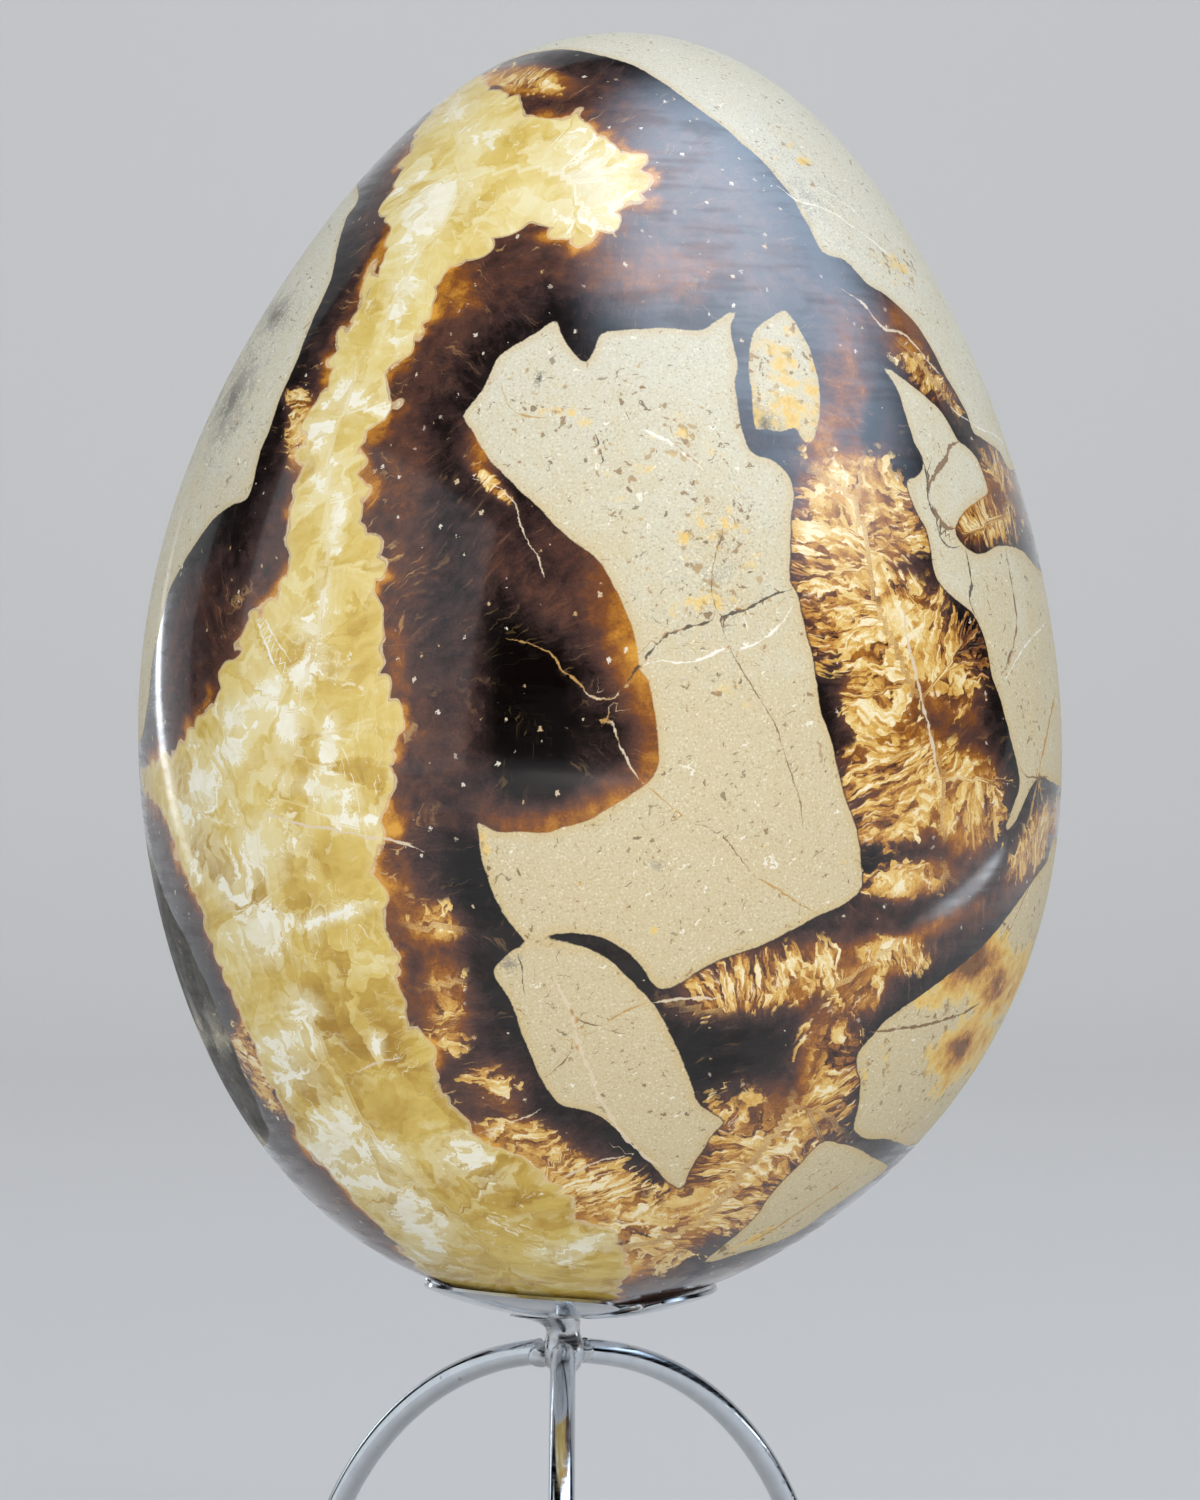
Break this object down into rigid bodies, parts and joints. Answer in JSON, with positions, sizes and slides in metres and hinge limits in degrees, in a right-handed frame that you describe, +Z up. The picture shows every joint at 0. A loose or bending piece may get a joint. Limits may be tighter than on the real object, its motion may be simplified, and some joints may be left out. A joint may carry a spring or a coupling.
{
  "type": "polished septarian nodule egg on a wire stand",
  "caption": "Polished egg-shaped septarian nodule with a small flat spot, cupped by the petals of a three-legged bent-rod display stand.",
  "frame": {"origin": "on the surface the feet stand on, straight below the middle of the whole object's box", "axes": "+Z up along the egg's height; -Y is the side that faces the picture's viewer; +X to that viewer's right"},
  "size_m": [0.1082, 0.1084, 0.1969],
  "materials": {
    "septarian_stone": "polished limestone clasts with brown aragonite rims and yellow calcite filling",
    "polished_steel": "bright polished, slightly uneven where it is welded"
  },
  "bodies": {
    "root": {"stone_egg": "septarian_stone", "petal_front": "polished_steel", "petal_right": "polished_steel", "petal_back": "polished_steel", "stand_post": "polished_steel", "leg_front": "polished_steel", "leg_left": "polished_steel", "leg_right": "polished_steel"}
  },
  "joints": []
}
